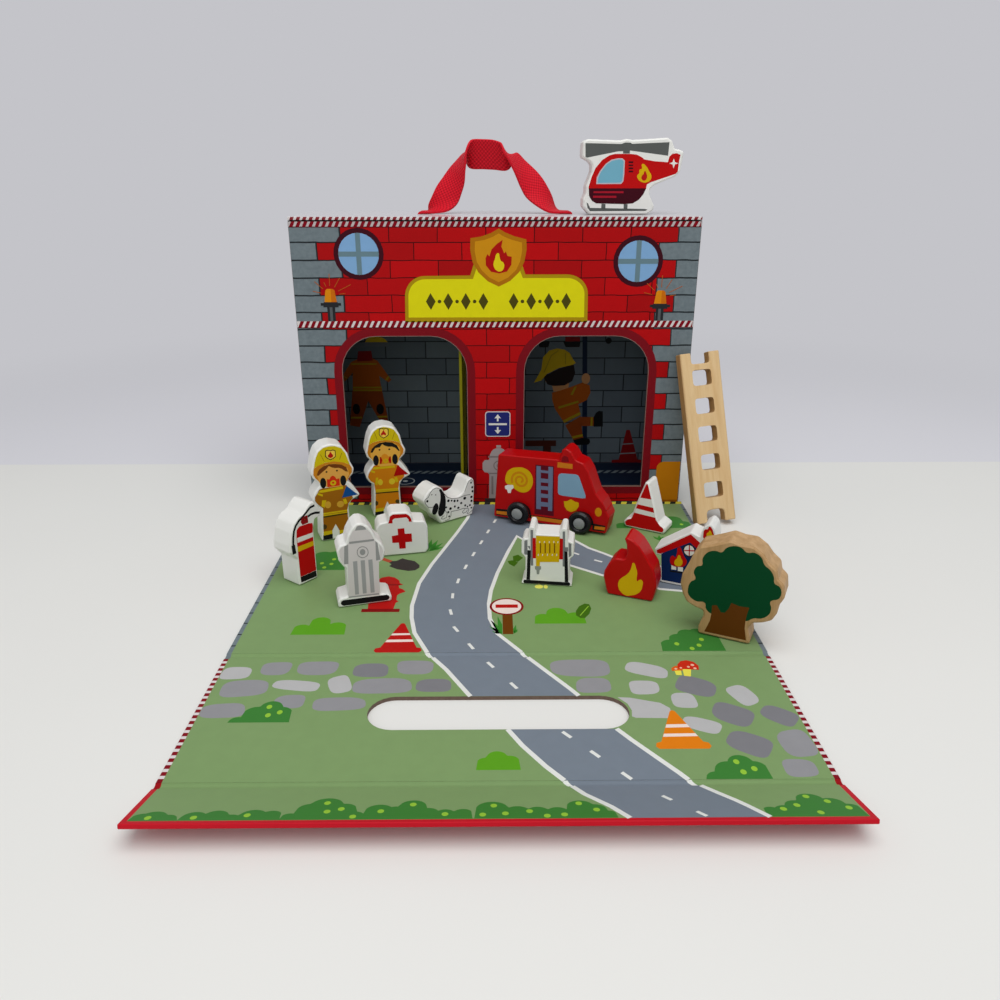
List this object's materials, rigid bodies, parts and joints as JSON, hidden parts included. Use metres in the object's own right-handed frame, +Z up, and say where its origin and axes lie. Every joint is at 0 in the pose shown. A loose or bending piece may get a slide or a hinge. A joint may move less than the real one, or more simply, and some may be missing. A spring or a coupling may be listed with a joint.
{
  "type": "toy fire station",
  "caption": "Fold-out toy fire station: a board carry case with arched doors, a lid with a webbing handle and a cover that opens into a play mat with loose wooden pieces.",
  "frame": {"origin": "centre of the underside of the case", "axes": "+Z up, -Y out of the doors towards the unfolded play mat, +X to the right as seen from the front"},
  "size_m": [0.2989, 0.4139, 0.2451],
  "materials": {
    "red_board": "laminated print",
    "grey_board": "laminated print",
    "yellow_board": "laminated print",
    "green_board": "laminated print",
    "hinge_paper": "laminated print",
    "magnet_steel": "nickel plated",
    "red_webbing": "woven",
    "white_painted_wood": "satin paint",
    "red_painted_wood": "satin paint",
    "natural_wood": "clear lacquer",
    "black_wheel": "gloss",
    "grey_hub": "gloss"
  },
  "bodies": {
    "case": {"floor_board": "grey_board", "back_board": "red_board", "left_side_board": "grey_board", "right_side_board": "grey_board", "facade_board": "red_board", "divider_board": "yellow_board", "base_hinge_strip": "hinge_paper", "back_magnet_left": "magnet_steel", "back_magnet_right": "magnet_steel"},
    "roof": {"roof_board": "red_board", "handle_strap": "red_webbing"},
    "helicopter": {"helicopter_block": "white_painted_wood"},
    "play_mat": {"mat_panel": "green_board", "mat_hinge_strip": "hinge_paper"},
    "cover_top": {"cover_top_panel": "green_board", "flap_hinge_strip": "hinge_paper"},
    "closing_flap": {"flap_panel": "red_board", "flap_magnet_left": "magnet_steel", "flap_magnet_right": "magnet_steel"},
    "firefighter_left": {"firefighter_left_block": "white_painted_wood"},
    "firefighter_right": {"firefighter_right_block": "white_painted_wood"},
    "extinguisher": {"extinguisher_block": "white_painted_wood"},
    "hydrant": {"hydrant_block": "white_painted_wood"},
    "first_aid_kit": {"first_aid_block": "white_painted_wood"},
    "dog": {"dog_block": "white_painted_wood"},
    "hose_reel": {"hose_reel_block": "white_painted_wood"},
    "traffic_cone": {"traffic_cone_block": "white_painted_wood"},
    "flame": {"flame_block": "red_painted_wood"},
    "burning_house": {"burning_house_block": "white_painted_wood"},
    "tree": {"tree_block": "natural_wood"},
    "leaning_ladder": {"ladder": "natural_wood"},
    "fire_engine": {"engine_body": "red_painted_wood"},
    "front_wheels": {"engine_front_axle": "grey_hub", "engine_front_wheel_near": "black_wheel", "engine_front_wheel_far": "black_wheel"},
    "rear_wheels": {"engine_rear_axle": "grey_hub", "engine_rear_wheel_near": "black_wheel", "engine_rear_wheel_far": "black_wheel"}
  },
  "joints": [
    {"name": "mat_fold", "type": "hinge", "parent": "case", "child": "play_mat", "pos_m": [0, -0.0465, 0], "axis": [-1, 0, 0], "range_deg": [0, 90]},
    {"name": "cover_top_fold", "type": "hinge", "parent": "play_mat", "child": "cover_top", "pos_m": [0, -0.247, 0], "axis": [-1, 0, 0], "range_deg": [0, 90]},
    {"name": "flap_fold", "type": "hinge", "parent": "cover_top", "child": "closing_flap", "pos_m": [0, -0.34, 0], "axis": [-1, 0, 0], "range_deg": [-17.5, 72.5]},
    {"name": "roof_lid", "type": "hinge", "parent": "case", "child": "roof", "pos_m": [0, 0.044, 0.196], "axis": [1, 0, 0], "range_deg": [-105, 0]},
    {"name": "helicopter_lift", "type": "slide", "parent": "roof", "child": "helicopter", "axis": [0, 0, 1], "range_m": [0, 0.15]},
    {"name": "firefighter_left_lift", "type": "slide", "parent": "case", "child": "firefighter_left", "axis": [0, 0, 1], "range_m": [0, 0.49]},
    {"name": "firefighter_right_lift", "type": "slide", "parent": "case", "child": "firefighter_right", "axis": [0, 0, 1], "range_m": [0, 0.49]},
    {"name": "extinguisher_lift", "type": "slide", "parent": "case", "child": "extinguisher", "axis": [0, 0, 1], "range_m": [0, 0.49]},
    {"name": "hydrant_lift", "type": "slide", "parent": "case", "child": "hydrant", "axis": [0, 0, 1], "range_m": [0, 0.49]},
    {"name": "first_aid_lift", "type": "slide", "parent": "case", "child": "first_aid_kit", "axis": [0, 0, 1], "range_m": [0, 0.49]},
    {"name": "dog_lift", "type": "slide", "parent": "case", "child": "dog", "axis": [0, 0, 1], "range_m": [0, 0.49]},
    {"name": "hose_reel_lift", "type": "slide", "parent": "case", "child": "hose_reel", "axis": [0, 0, 1], "range_m": [0, 0.49]},
    {"name": "traffic_cone_lift", "type": "slide", "parent": "case", "child": "traffic_cone", "axis": [0, 0, 1], "range_m": [0, 0.49]},
    {"name": "flame_lift", "type": "slide", "parent": "case", "child": "flame", "axis": [0, 0, 1], "range_m": [0, 0.49]},
    {"name": "burning_house_lift", "type": "slide", "parent": "case", "child": "burning_house", "axis": [0, 0, 1], "range_m": [0, 0.49]},
    {"name": "tree_lift", "type": "slide", "parent": "case", "child": "tree", "axis": [0, 0, 1], "range_m": [0, 0.49]},
    {"name": "ladder_lift", "type": "slide", "parent": "case", "child": "leaning_ladder", "axis": [0, 0, 1], "range_m": [0, 0.49]},
    {"name": "fire_engine_lift", "type": "slide", "parent": "case", "child": "fire_engine", "axis": [0, 0, 1], "range_m": [0, 0.49]},
    {"name": "front_wheels_roll", "type": "hinge", "parent": "fire_engine", "child": "front_wheels", "pos_m": [0.05899, -0.09173, 0.0101], "axis": [0.3907, 0.9205, 0], "continuous": true},
    {"name": "rear_wheels_roll", "type": "hinge", "parent": "fire_engine", "child": "rear_wheels", "pos_m": [0.01877, -0.07465, 0.0101], "axis": [0.3907, 0.9205, 0], "continuous": true}
  ],
  "couplings": [
    {"joint": "firefighter_left_lift", "follows": "mat_fold", "m_per_rad": 0.31},
    {"joint": "firefighter_right_lift", "follows": "mat_fold", "m_per_rad": 0.31},
    {"joint": "extinguisher_lift", "follows": "mat_fold", "m_per_rad": 0.31},
    {"joint": "hydrant_lift", "follows": "mat_fold", "m_per_rad": 0.31},
    {"joint": "first_aid_lift", "follows": "mat_fold", "m_per_rad": 0.31},
    {"joint": "dog_lift", "follows": "mat_fold", "m_per_rad": 0.31},
    {"joint": "hose_reel_lift", "follows": "mat_fold", "m_per_rad": 0.31},
    {"joint": "traffic_cone_lift", "follows": "mat_fold", "m_per_rad": 0.31},
    {"joint": "flame_lift", "follows": "mat_fold", "m_per_rad": 0.31},
    {"joint": "burning_house_lift", "follows": "mat_fold", "m_per_rad": 0.31},
    {"joint": "tree_lift", "follows": "mat_fold", "m_per_rad": 0.31},
    {"joint": "ladder_lift", "follows": "mat_fold", "m_per_rad": 0.31},
    {"joint": "fire_engine_lift", "follows": "mat_fold", "m_per_rad": 0.31}
  ]
}
